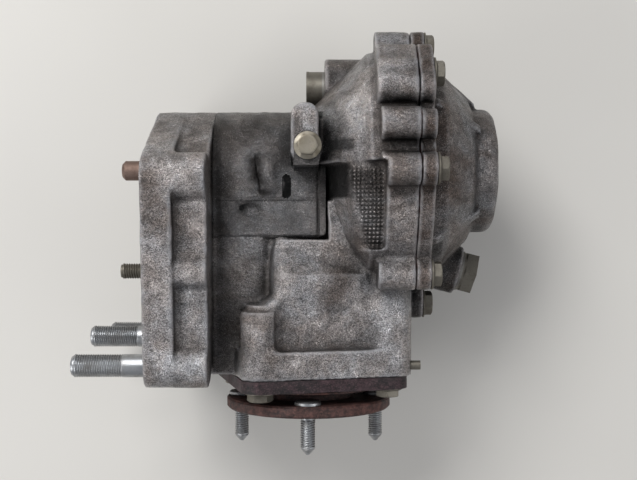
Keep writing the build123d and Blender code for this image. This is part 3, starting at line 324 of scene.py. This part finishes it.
def sheet_extras(tree, axes, base, heights):
    """Painted shade in the sheet's dents and creases, along its left lip and beside its slot, broken up by noise."""
    broken = ramp(tree, add_noise(tree, 110.0, 4.0, 0.6), [(0.34, grey(0.15)), (0.52, grey(1.0))])
    lean = calculate(tree, "ADD", axes["X"], calculate(tree, "MULTIPLY", axes["Y"], 0.14))
    # Each band is painted shade on a dent, crease, lip or slot side
    for value, left, right, rear, front, soft, share in (
            (lean, 0.0505, 0.0625, -0.0175, 0.0110, 0.0040, 0.95),
            (axes["X"], 0.0690, 0.0755, -0.0020, 0.0120, 0.0020, 0.70),
            (axes["X"], 0.0440, 0.0620, -0.0300, -0.0170, 0.0045, 0.90),
            (axes["X"], 0.0340, 0.0385, -0.0370, 0.0220, 0.0012, 0.60),
            (axes["X"], 0.0550, 0.0900, -0.0190, -0.0168, 0.0008, 0.55),
            (axes["X"], 0.0600, 0.0880, -0.0330, -0.0200, 0.0050, 0.35)):
        across = band(tree, value, left, right, soft)
        along = band(tree, axes["Y"], rear, front, soft * 1.6)
        base = covered(tree, base, product(tree, across, along, broken), share, (0.012, 0.010, 0.009))
    return base


def cover_extras(tree, axes, base, heights):
    """On the right case: only the sealant."""
    return joint_sealant(tree, axes, base)


def metal_material(name, colour, stain, roughness, metallic=0.9, stain_share=0.5, scale=60.0):
    """Bare or plated metal with stains."""
    material, tree, shader = new_material(name)
    patches = add_noise(tree, scale, 6.0, 0.7)
    fine = add_noise(tree, scale * 20, 3.0, 0.6)
    amount = ramp(tree, patches, [(0.45, grey(0.0)), (0.75, grey(stain_share))])
    base = mix(tree, amount, colour, stain)
    base = mix(tree, ramp(tree, fine, [(0.5, grey(0.0)), (0.75, grey(0.3))]), base, [c * 0.5 for c in stain])
    tree.links.new(base, shader.inputs["Base Color"])
    shader.inputs["Metallic"].default_value = metallic
    rough = ramp(tree, patches, [(0.35, grey(roughness)), (0.7, grey(min(1.0, roughness + 0.25)))])
    tree.links.new(rough, shader.inputs["Roughness"])
    bump(tree, shader, [(fine, 0.25, 0.0002)])
    return material


def rust_material(name, colour, dark, light):
    """Oily iron under a thin coat of rust and dust."""
    material, tree, shader = new_material(name)
    dust = add_noise(tree, 300.0, 5.0, 0.7)
    patches = add_noise(tree, 45.0, 6.0, 0.65, 0.4)
    grain = add_noise(tree, 1200.0, 3.0, 0.7)
    base = mix(tree, ramp(tree, patches, [(0.35, grey(0.0)), (0.65, grey(1.0))]), dark, colour)
    base = mix(tree, ramp(tree, grain, [(0.5, grey(0.0)), (0.75, grey(0.4))]), base, light)
    base = shade(tree, base, dust, [(0.38, grey(0.35)), (0.62, grey(1.6))])
    tree.links.new(base, shader.inputs["Base Color"])
    shader.inputs["Metallic"].default_value = 0.2
    rough = ramp(tree, patches, [(0.3, grey(0.45)), (0.7, grey(0.8))])
    tree.links.new(rough, shader.inputs["Roughness"])
    bump(tree, shader, [(grain, 0.4, 0.0004), (patches, 0.3, 0.001)])
    return material


def rubber_material(name):
    """Dusty black rubber."""
    material, tree, shader = new_material(name)
    dust = add_noise(tree, 120.0, 4.0, 0.6)
    base = mix(tree, ramp(tree, dust, [(0.5, grey(0.0)), (0.8, grey(0.5))]), grey(0.02), (0.09, 0.08, 0.07))
    tree.links.new(base, shader.inputs["Base Color"])
    shader.inputs["Roughness"].default_value = 0.7
    bump(tree, shader, [(add_noise(tree, 1500.0), 0.2, 0.0002)])
    return material


CASE = cast_material("cast_case", tone=0.84, brown=0.13, roughness=0.31, bottom_brightness=0.40, edge_highlight=0.6,
                     extras=case_extras)
COVER = cast_material("cast_cover", tone=0.46, brown=0.28, roughness=0.34, bottom_brightness=0.34, edge_highlight=0.5,
                      extras=cover_extras)
SHEET = cast_material("shield_sheet", tone=0.25, brown=0.10, roughness=0.28, bottom_brightness=1.0, edge_highlight=0.0,
                      extras=sheet_extras, grit=0.55)
PIN = metal_material("rusty_pin", (0.24, 0.17, 0.14), (0.09, 0.05, 0.035), 0.45, 0.8, 0.8)
STUD = metal_material("stud_steel", (0.42, 0.43, 0.44), (0.16, 0.14, 0.12), 0.32, 1.0, 0.7, 110.0)
ZINC = metal_material("zinc_steel", (0.27, 0.245, 0.20), (0.16, 0.13, 0.08), 0.38, 0.9, 0.7, 140.0)
DULL_BOLT = metal_material("dull_bolt", (0.19, 0.175, 0.145), (0.055, 0.043, 0.033), 0.42, 0.8, 0.85)
GEAR_STEEL = metal_material("gear_steel", (0.45, 0.44, 0.42), (0.25, 0.20, 0.15), 0.28, 1.0, 0.35)
BEARING_STEEL = metal_material("bearing_steel", (0.60, 0.60, 0.60), (0.35, 0.32, 0.28), 0.2, 1.0, 0.3)
CARRIER_IRON = metal_material("carrier_iron", (0.22, 0.21, 0.20), (0.10, 0.08, 0.07), 0.45, 0.7, 0.6)
BRONZE = metal_material("bronze", (0.55, 0.36, 0.14), (0.25, 0.15, 0.07), 0.35, 1.0, 0.5)
SOFT_METAL = metal_material("soft_aluminium", (0.26, 0.25, 0.23), (0.10, 0.085, 0.07), 0.5, 0.8, 0.8)
CAGE_IRON = rust_material("cage_iron", (0.040, 0.020, 0.024), (0.012, 0.008, 0.009), (0.13, 0.08, 0.08))
FLANGE_IRON = rust_material("flange_iron", (0.080, 0.034, 0.028), (0.026, 0.013, 0.012), (0.14, 0.07, 0.05))
RUBBER = rubber_material("black_rubber")

SLOT_MATERIALS = {
    "cast_case": CASE,
    "cast_cover": COVER,
    "shield_sheet": SHEET,
    "zinc_steel": ZINC,
    "plug_steel": DULL_BOLT,
    "cage_iron": CAGE_IRON,
    "flange_iron": FLANGE_IRON,
    "gear_steel": GEAR_STEEL,
    "bearing_steel": BEARING_STEEL,
    "carrier_iron": CARRIER_IRON,
    "bronze": BRONZE,
    "soft_aluminium": SOFT_METAL,
    "black_rubber": RUBBER,
}
slot_of = {part["node"]: part["material_slot"] for part in frame["record"]["subparts"]}
for node, obj in frame["nodes"].items():
    obj.data.materials.clear()
    obj.data.materials.append(SLOT_MATERIALS[slot_of[node]])
for node, material in (("transaxle_dowel", PIN), ("filler_plug", DULL_BOLT), ("drain_plug", DULL_BOLT),
                       ("neck_pin", DULL_BOLT), ("screw_plug", DULL_BOLT)):
    frame["nodes"][node].data.materials[0] = material


# Small meshes built here, in millimetres, then placed and scaled to metres

def new_piece(name, points, faces, material, node):
    """An object that stands for a CAD node, on the same body, with the given material."""
    mesh = bpy.data.meshes.new(name)
    mesh.from_pydata([tuple(c * MM for c in point) for point in points], [], faces)
    mesh.validate()
    mesh.polygons.foreach_set("use_smooth", [True] * len(mesh.polygons))
    mesh.set_sharp_from_angle(angle=math.radians(35))
    mesh.materials.append(material)
    obj = bpy.data.objects.new(name, mesh)
    bpy.context.scene.collection.objects.link(obj)
    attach(obj, frame["nodes"][node]["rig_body"])
    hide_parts(node)


class Shape:
    """Points and faces gathered from several turned forms."""

    def __init__(self):
        self.points = []
        self.faces = []

    def turned(self, rings, matrix, sides):
        """Closed turned form. Each ring is (height, radius function of the angle)."""
        first = len(self.points)
        for height, radius in rings:
            for i in range(sides):
                angle = 2 * math.pi * i / sides
                r = radius(angle, height) if callable(radius) else radius
                self.points.append(matrix @ Vector((r * math.cos(angle), r * math.sin(angle), height)))
        for ring in range(len(rings) - 1):
            for i in range(sides):
                a = first + ring * sides + i
                b = first + ring * sides + (i + 1) % sides
                self.faces.append((a, b, b + sides, a + sides))
        last = first + (len(rings) - 1) * sides
        self.faces.append(tuple(first + i for i in reversed(range(sides))))
        self.faces.append(tuple(last + i for i in range(sides)))


def placed(origin, direction):
    """A matrix that puts height 0 at a point, with Z along a direction."""
    return Matrix.Translation(origin) @ Vector(direction).to_track_quat("Z", "Y").to_matrix().to_4x4()


def islands(node):
    """The box of each loose part of a CAD node, as (low, high) in millimetres."""
    mesh = bmesh.new()
    mesh.from_mesh(frame["nodes"][node].data)
    bmesh.ops.remove_doubles(mesh, verts=mesh.verts, dist=1e-6)
    left = set(mesh.verts)
    boxes = []
    while left:
        queue = [left.pop()]
        group = []
        while queue:
            vertex = queue.pop()
            group.append(vertex.co / MM)
            for edge in vertex.link_edges:
                other = edge.other_vert(vertex)
                if other in left:
                    left.discard(other)
                    queue.append(other)
        low = Vector([min(p[i] for p in group) for i in range(3)])
        high = Vector([max(p[i] for p in group) for i in range(3)])
        boxes.append((low, high))
    mesh.free()
    return sorted(boxes, key=lambda box: tuple(round(c, 2) for c in box[0]))


def middle(box):
    """The centre of a (low, high) box."""
    return (box[0] + box[1]) / 2


def threads(radius, pitch, depth, start, end):
    """Rings of a helical thread, whose crest is at the radius."""
    def wave(angle, height):
        phase = (height / pitch - angle / (2 * math.pi)) % 1.0
        fade = min(1.0, (height - start) / pitch, (end - height) / pitch)
        return radius - depth * max(0.0, fade) * min(1.0, 2.2 * abs(phase - 0.5))
    rings_per_turn = 7
    count = int((end - start) / pitch * rings_per_turn)
    return [(start + (end - start) * i / count, wave) for i in range(count + 1)]


def hex_radius(flats, angle):
    """From the middle of a hexagon to its outline."""
    sector = (angle + math.pi / 6) % (math.pi / 3) - math.pi / 6
    return flats / 2 / math.cos(sector)


def hex_head_rings(flats, flange_r, flange_h, top, chamfer_r):
    """Rings of a flanged hex head with the usual round chamfer, from height 0 up."""
    def side(angle, height):
        return hex_radius(flats, angle)

    def edge(angle, height):
        return min(hex_radius(flats, angle), chamfer_r + (top - height) * 1.7)

    rings = [(0.0, flange_r - 0.3), (0.3, flange_r), (flange_h * 0.6, flange_r)]
    rings += [(flange_h, lambda angle, height: hex_radius(flats, angle) + 0.5), (flange_h + 0.2, side)]
    rings += [(top - 1.2 + 0.15 * i, edge) for i in range(8)]
    rings += [(top - 0.02, chamfer_r), (top, chamfer_r - 0.5), (top - 0.12, chamfer_r * 0.5), (top - 0.12, 0.05)]
    return rings


def make_bolts(node, name, material, axis, sign, flats, head, flange_r, flange_h, shank_r, chamfer_r):
    """Flanged bolts in place of a node's plain ones. The axis and sign point to the heads."""
    shape = Shape()
    for box in islands(node):
        direction = Vector((0, 0, 0))
        direction[axis] = sign
        centre = middle(box)
        top = box[1][axis] if sign > 0 else box[0][axis]
        origin = centre.copy()
        origin[axis] = top - sign * head
        shank = (box[1] - box[0])[axis] - head
        turn = Matrix.Rotation(random.uniform(0, math.pi / 3), 4, "Z")
        rings = [(-shank, shank_r), (-0.01, shank_r), *hex_head_rings(flats, flange_r, flange_h, head, chamfer_r)]
        shape.turned(rings, placed(origin, direction) @ turn, 72)
    new_piece(name, shape.points, shape.faces, material, node)


def stud_rings(radius, seat_r, inner, outer, tip, depth, thread_start, thread_end):
    """A seated stud from height -inner to outer, threaded over part of its length."""
    rings = [(-inner, seat_r), (0.5, seat_r), (0.52, radius)]
    if thread_start > 0.6:
        rings.append((thread_start - 0.01, radius))
    rings += threads(radius, FINE_PITCH, depth, thread_start, thread_end)
    root = radius - depth
    rings += [(thread_end + 0.05, root), (outer - tip + (radius - root), root), (outer, radius - tip + 0.3)]
    return rings


def smooth_step(low, high, value):
    """0 at the first limit and 1 at the second, with soft ends. The first may be the larger one."""
    share = min(1.0, max(0.0, (value - low) / (high - low)))
    return share * share * (3 - 2 * share)


def shield_height(x, y):
    """How far the pressed sheet stands off its plain form, in millimetres."""
    # The lip along the left edge
    height = 2.4 * math.exp(-(x - SHIELD_LEFT_X) / 1.1) * smooth_step(26.0, 20.0, y)
    # The step down to the rear field, with a groove along it
    height -= 0.8 * smooth_step(-17.4, -18.4, y) * smooth_step(90.5, 89.5, x)
    height -= 0.5 * math.exp(-((y + 17.2) / 0.5) ** 2) * smooth_step(36, 40, x)
    # The raised rim on the right, with a groove inside it
    height += 0.7 * smooth_step(90.0, 90.7, x)
    height -= 0.5 * math.exp(-((x - 89.6) / 0.5) ** 2)
    # The pad left of the slot
    left = 55.5 + 2.5 * smooth_step(4.0, -14.0, y)
    pad = smooth_step(left, left + 0.9, x) * smooth_step(71.0, 62.0, x)
    height += 3.0 * pad * smooth_step(-16.0, -12.0, y) * smooth_step(9.0, 2.0, y)
    # The slanting dent behind the pad, then the rear edge bent down
    height -= 2.2 * math.exp(-((x - 52.0 + 0.5 * (y + 23)) / 5.5) ** 2 - ((y + 23.0) / 3.6) ** 2)
    height -= 1.0 * smooth_step(-36.4, -38.0, y)
    return height + 0.35 * noise.noise(Vector((x, y, 0)) * 0.16)


def make_shield():
    """The pressed sheet over the tube, with its ear under the lug's bolt."""
    start = math.radians(SHIELD_START_ANGLE)
    turn = math.acos(LUG_REAR_Y / SHIELD_R) - start
    length = SHIELD_REAR_Y - LUG_REAR_Y
    path = [(SHIELD_R * math.cos(a), SHIELD_R * math.sin(a), math.cos(a), math.sin(a))
            for a in [start + turn * j / 60 for j in range(61)]]
    path += [(LUG_REAR_Y + length * j / 55, SHIELD_R, 0.0, 1.0) for j in range(1, 56)]
    columns = [SHIELD_LEFT_X + (LUG_LEFT_X - SHIELD_LEFT_X) * i / 60 for i in range(61)]
    columns += [LUG_LEFT_X + (SHIELD_RIGHT_X - LUG_LEFT_X) * i / 26 for i in range(1, 27)]
    points, faces, width = [], [], len(columns)
    for side in (0.0, SHEET_T):
        for y, z, normal_y, normal_z in path:
            short = SHIELD_CORNER_R - min(y - SHIELD_REAR_Y, SHIELD_CORNER_R)
            inset = SHIELD_CORNER_R - math.sqrt(max(0.0, SHIELD_CORNER_R ** 2 - short ** 2))
            narrowed = (SHIELD_RIGHT_X - inset - SHIELD_LEFT_X) / (SHIELD_RIGHT_X - SHIELD_LEFT_X)
            for column in columns:
                x = SHIELD_LEFT_X + (column - SHIELD_LEFT_X) * narrowed
                lift = shield_height(x, y) - side
                points.append((x, y + normal_y * lift, z + normal_z * lift))
    kept = set()
    for j in range(len(path) - 1):
        for i in range(width - 1):
            x = (columns[i] + columns[i + 1]) / 2
            y = (path[j][0] + path[j + 1][0]) / 2
            in_lug = x > LUG_LEFT_X and y > LUG_REAR_Y
            from_slot = math.hypot(x - SLOT_X, max(0.0, abs(y - SLOT_Y) - SLOT_HALF_LENGTH))
            if not in_lug and from_slot >= SLOT_R:
                kept.add((i, j))
    layer = width * len(path)
    for i, j in sorted(kept):
        a = j * width + i
        faces.append((a, a + 1, a + width + 1, a + width))
        faces.append((a + layer, a + layer + width, a + layer + width + 1, a + layer + 1))
        for (di, dj), (p, q) in (((0, -1), (a, a + 1)), ((1, 0), (a + 1, a + width + 1)),
                                 ((0, 1), (a + width + 1, a + width)), ((-1, 0), (a + width, a))):
            if (i + di, j + dj) not in kept:
                faces.append((q, p, p + layer, q + layer))
    add_ear(points, faces)
    new_piece("shield_sheet", points, faces, SHEET, "heat_shield")


def add_ear(points, faces):
    """The ear: a strip up the lug's rear side and a round tab under the bolt's head."""
    low_y = LUG_REAR_Y - SHEET_T
    round_part = [math.radians(a) for a in range(-20, 201, 10)]
    outline = [(EAR_RIGHT_X, low_y)]
    outline += [(SHIELD_BOLT_X + EAR_TAB_R * math.cos(a), SHIELD_BOLT_Y + EAR_TAB_R * math.sin(a))
                for a in round_part]
    outline += [(EAR_LEFT_X, low_y)]
    first = len(points)
    count = len(outline)
    points += [(x, y, z) for z in (EAR_SEAT_Z, EAR_SEAT_Z + SHEET_T) for x, y in outline]
    faces.append(tuple(first + count + i for i in range(count)))
    faces.append(tuple(first + i for i in reversed(range(count))))
    for i in range(count):
        j = (i + 1) % count
        faces.append((first + i, first + j, first + count + j, first + count + i))
    first = len(points)
    foot_z = SHIELD_R - 1.0
    heights = [foot_z + (EAR_SEAT_Z + 0.6 - foot_z) * k / 12 for k in range(13)]
    for height in heights:
        flare = 2.6 * max(0.0, 1 - (height - foot_z) / 5.0) ** 2
        for x, y in ((EAR_LEFT_X, low_y), (EAR_RIGHT_X, low_y), (EAR_RIGHT_X, LUG_REAR_Y), (EAR_LEFT_X, LUG_REAR_Y)):
            points.append((x, y - flare, height))
    for k in range(len(heights) - 1):
        for i in range(4):
            a, b = first + 4 * k + i, first + 4 * k + (i + 1) % 4
            faces.append((a, b, b + 4, a + 4))
    last = first + 4 * (len(heights) - 1)
    faces.append((first + 3, first + 2, first + 1, first))
    faces.append((last, last + 1, last + 2, last + 3))


def make_studs():
    """The studs with their threads: part of the long ones' length, all of the others."""
    shape = Shape()
    for box in islands("transaxle_studs"):
        centre = middle(box)
        inner, outer = box[1].x, -box[0].x
        rings = stud_rings(M12_R, seat_r=5.4, inner=inner, outer=outer, tip=1.5, depth=0.62,
                           thread_start=outer - 27.0, thread_end=outer - 1.6)
        shape.turned(rings, placed((0, centre.y, centre.z), (-1, 0, 0)), 48)
    new_piece("long_studs", shape.points, shape.faces, STUD, "transaxle_studs")
    shape = Shape()
    box = islands("transaxle_short_stud")[0]
    centre = middle(box)
    inner, outer = box[1].x, -box[0].x
    rings = stud_rings(M8_R, seat_r=3.5, inner=inner, outer=outer, tip=1.0, depth=0.6,
                       thread_start=0.7, thread_end=outer - 1.1)
    shape.turned(rings, placed((0, centre.y, centre.z), (-1, 0, 0)), 40)
    new_piece("short_stud", shape.points, shape.faces, DULL_BOLT, "transaxle_short_stud")


def make_flange_studs():
    """The pressed studs of the companion flange, with heads, threads and cone points."""
    flange_t, stud_out, head_r, press_r = 6.2, 20.2, 7.15, 4.35
    shape = Shape()
    for box in islands("flange_studs"):
        centre = middle(box)
        seat_y = box[0].y + stud_out
        head = seat_y - box[1].y
        inside = -flange_t
        rings = [(head, 6.4), (head + 0.6, head_r), (inside - 0.3, head_r), (inside, 6.9)]
        rings += [(inside + 0.01, press_r), (0.5, press_r), (0.52, M8_R)]
        rings += threads(M8_R, FINE_PITCH, 0.55, 0.7, 16.6)
        rings += [(16.9, 3.5), (17.2, 3.6), (stud_out, 1.0)]
        shape.turned(rings, placed((centre.x, seat_y, centre.z), (0, -1, 0)), 40)
    new_piece("threaded_flange_studs", shape.points, shape.faces, STUD, "flange_studs")


# Castings: the CAD solid with soft cast edges and an uneven sand-cast skin

def soft_band(values, low, high, soft):
    """1 between two values and 0 outside, with soft ends, for an array."""
    return np.clip((values - low) / soft, 0, 1) * np.clip((high - values) / soft, 0, 1)


def case_relief(places, normals):
    """A shallow panel on the neck, and plain metal beside and behind the shield up to its level."""
    x, y, z = (places / MM).T
    panel_depth, highest_lift = 2.8, 12
    fade = np.clip((-56.0 - y) / 28.0, 0, 1)
    panel = soft_band(x, 66.5, 122.5, 5.0) * np.clip((y + 98.5) / 3.5, 0, 1) * fade * fade * (3 - 2 * fade)
    facing_up = np.clip(normals[:, 2] * 2, 0, 1)
    offsets = normals * (-panel_depth * panel * (z > 22) * facing_up)[:, None]
    beside = soft_band(x, SHIELD_RIGHT_X + 0.6, 114.0, 0.8) * soft_band(y, -48.0, -17.6, 1.2)
    behind = soft_band(x, 66.0, 114.0, 6.0) * soft_band(y, -48.0, SHIELD_REAR_Y - 0.6, 0.8)
    level = 34.5 + 0.05 * (y + 46.0)
    outside = (z > 20) * (normals[:, 2] > -0.35)
    offsets[:, 2] += np.clip(level - z, 0, highest_lift) * np.maximum(beside, behind) * outside
    return offsets * MM


def no_relief(places, normals):
    """For a casting that keeps its CAD form."""
    return np.zeros_like(places)


def cast_piece(node, name, material, voxel, relief):
    """Stands for a cast CAD node: the same form, remeshed, softened and made slightly uneven."""
    smooth_turns, wave, waves_per_metre = 3, 0.3 * MM, 90.0
    source = frame["nodes"][node]
    obj = bpy.data.objects.new(name, source.data.copy())
    bpy.context.scene.collection.objects.link(obj)
    bpy.ops.object.select_all(action="DESELECT")
    bpy.context.view_layer.objects.active = obj
    obj.select_set(True)
    remesh = obj.modifiers.new("remesh", "REMESH")
    remesh.mode = "VOXEL"
    remesh.voxel_size = voxel
    remesh.use_smooth_shade = True
    bpy.ops.object.modifier_apply(modifier="remesh")
    smooth = obj.modifiers.new("smooth", "SMOOTH")
    smooth.factor = 0.5
    smooth.iterations = smooth_turns
    bpy.ops.object.modifier_apply(modifier="smooth")
    count = len(obj.data.vertices)
    places = np.empty(count * 3, dtype=np.float32)
    normals = np.empty(count * 3, dtype=np.float32)
    obj.data.vertices.foreach_get("co", places)
    obj.data.vertices.foreach_get("normal", normals)
    places = places.reshape(count, 3)
    heights = np.array([noise.fractal(place * waves_per_metre, 0.9, 2.0, 3) for place in map(Vector, places)])
    normals = normals.reshape(count, 3)
    places += normals * (heights * wave)[:, None] + relief(places, normals)
    obj.data.vertices.foreach_set("co", places.ravel())
    obj.data.update()
    obj.data.materials.clear()
    obj.data.materials.append(material)
    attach(obj, source["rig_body"])
    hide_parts(node)


make_shield()
make_studs()
make_flange_studs()
make_bolts("case_bolts", "joint_bolts", DULL_BOLT, axis=0, sign=1, flats=12.0, head=5.6, flange_r=8.3,
           flange_h=1.4, shank_r=M8_R, chamfer_r=5.75)
make_bolts("cage_bolts", "neck_bolts", DULL_BOLT, axis=1, sign=-1, flats=12.0, head=5.0, flange_r=8.3,
           flange_h=1.4, shank_r=M8_R, chamfer_r=5.75)
make_bolts("heat_shield_bolt", "lug_bolt", ZINC, axis=2, sign=1, flats=10.0, head=5.9, flange_r=7.2,
           flange_h=1.5, shank_r=M6_R, chamfer_r=4.8)
cast_piece("main_case", "case_casting", CASE, 1.15 * MM, case_relief)
cast_piece("right_case", "cover_casting", COVER, 1.0 * MM, no_relief)


# Stage: floor, lights and camera

def make_floor():
    """A pale matt floor just under the part."""
    material, tree, shader = new_material("floor")
    tone = add_noise(tree, 3.0, 3.0, 0.5)
    colour = ramp(tree, tone, [(0.3, (0.60, 0.58, 0.54)), (0.7, (0.66, 0.64, 0.60))])
    tree.links.new(colour, shader.inputs["Base Color"])
    shader.inputs["Roughness"].default_value = 0.75
    mesh = bpy.data.meshes.new("floor")
    size = 3.0
    z = cad_box[0].z - 0.4 * MM
    mesh.from_pydata([(-size, -size, z), (size, -size, z), (size, size, z), (-size, size, z)], [], [(0, 1, 2, 3)])
    floor = bpy.data.objects.new("floor", mesh)
    bpy.context.scene.collection.objects.link(floor)
    mesh.materials.append(material)


def add_area(name, location, size, power):
    """A soft lamp that looks at the middle of the part."""
    target = (0.08, -0.04, 0.0)
    light = bpy.data.lights.new(name, "AREA")
    light.shape = "SQUARE"
    light.size = size
    light.energy = power
    lamp = bpy.data.objects.new(name, light)
    bpy.context.scene.collection.objects.link(lamp)
    lamp.location = location
    direction = Vector(target) - Vector(location)
    lamp.rotation_euler = direction.to_track_quat("-Z", "Y").to_euler()


def make_camera():
    """The photo's camera: straight above and looking down, 558 mm over the main axis."""
    camera = bpy.data.cameras.new("camera")
    camera.lens = 55.2
    camera.sensor_width = 36.0
    camera.clip_start = 0.01
    obj = bpy.data.objects.new("camera", camera)
    bpy.context.scene.collection.objects.link(obj)
    obj.location = (0.090, -0.0394, 0.558)
    bpy.context.scene.camera = obj


make_floor()
make_camera()
add_area("key", (-0.35, 0.65, 0.95), size=0.55, power=12.0)
add_area("fill", (-0.75, -0.45, 0.6), size=0.6, power=3.5)
add_area("side", (0.9, -0.3, 0.7), size=0.7, power=2.5)
world = bpy.data.worlds.new("world")
bpy.context.scene.world = world
world.use_nodes = True
background = world.node_tree.nodes["Background"]
background.inputs["Color"].default_value = (0.9, 0.93, 1.0, 1.0)
background.inputs["Strength"].default_value = 0.36
bpy.context.scene.view_settings.view_transform = "Standard"
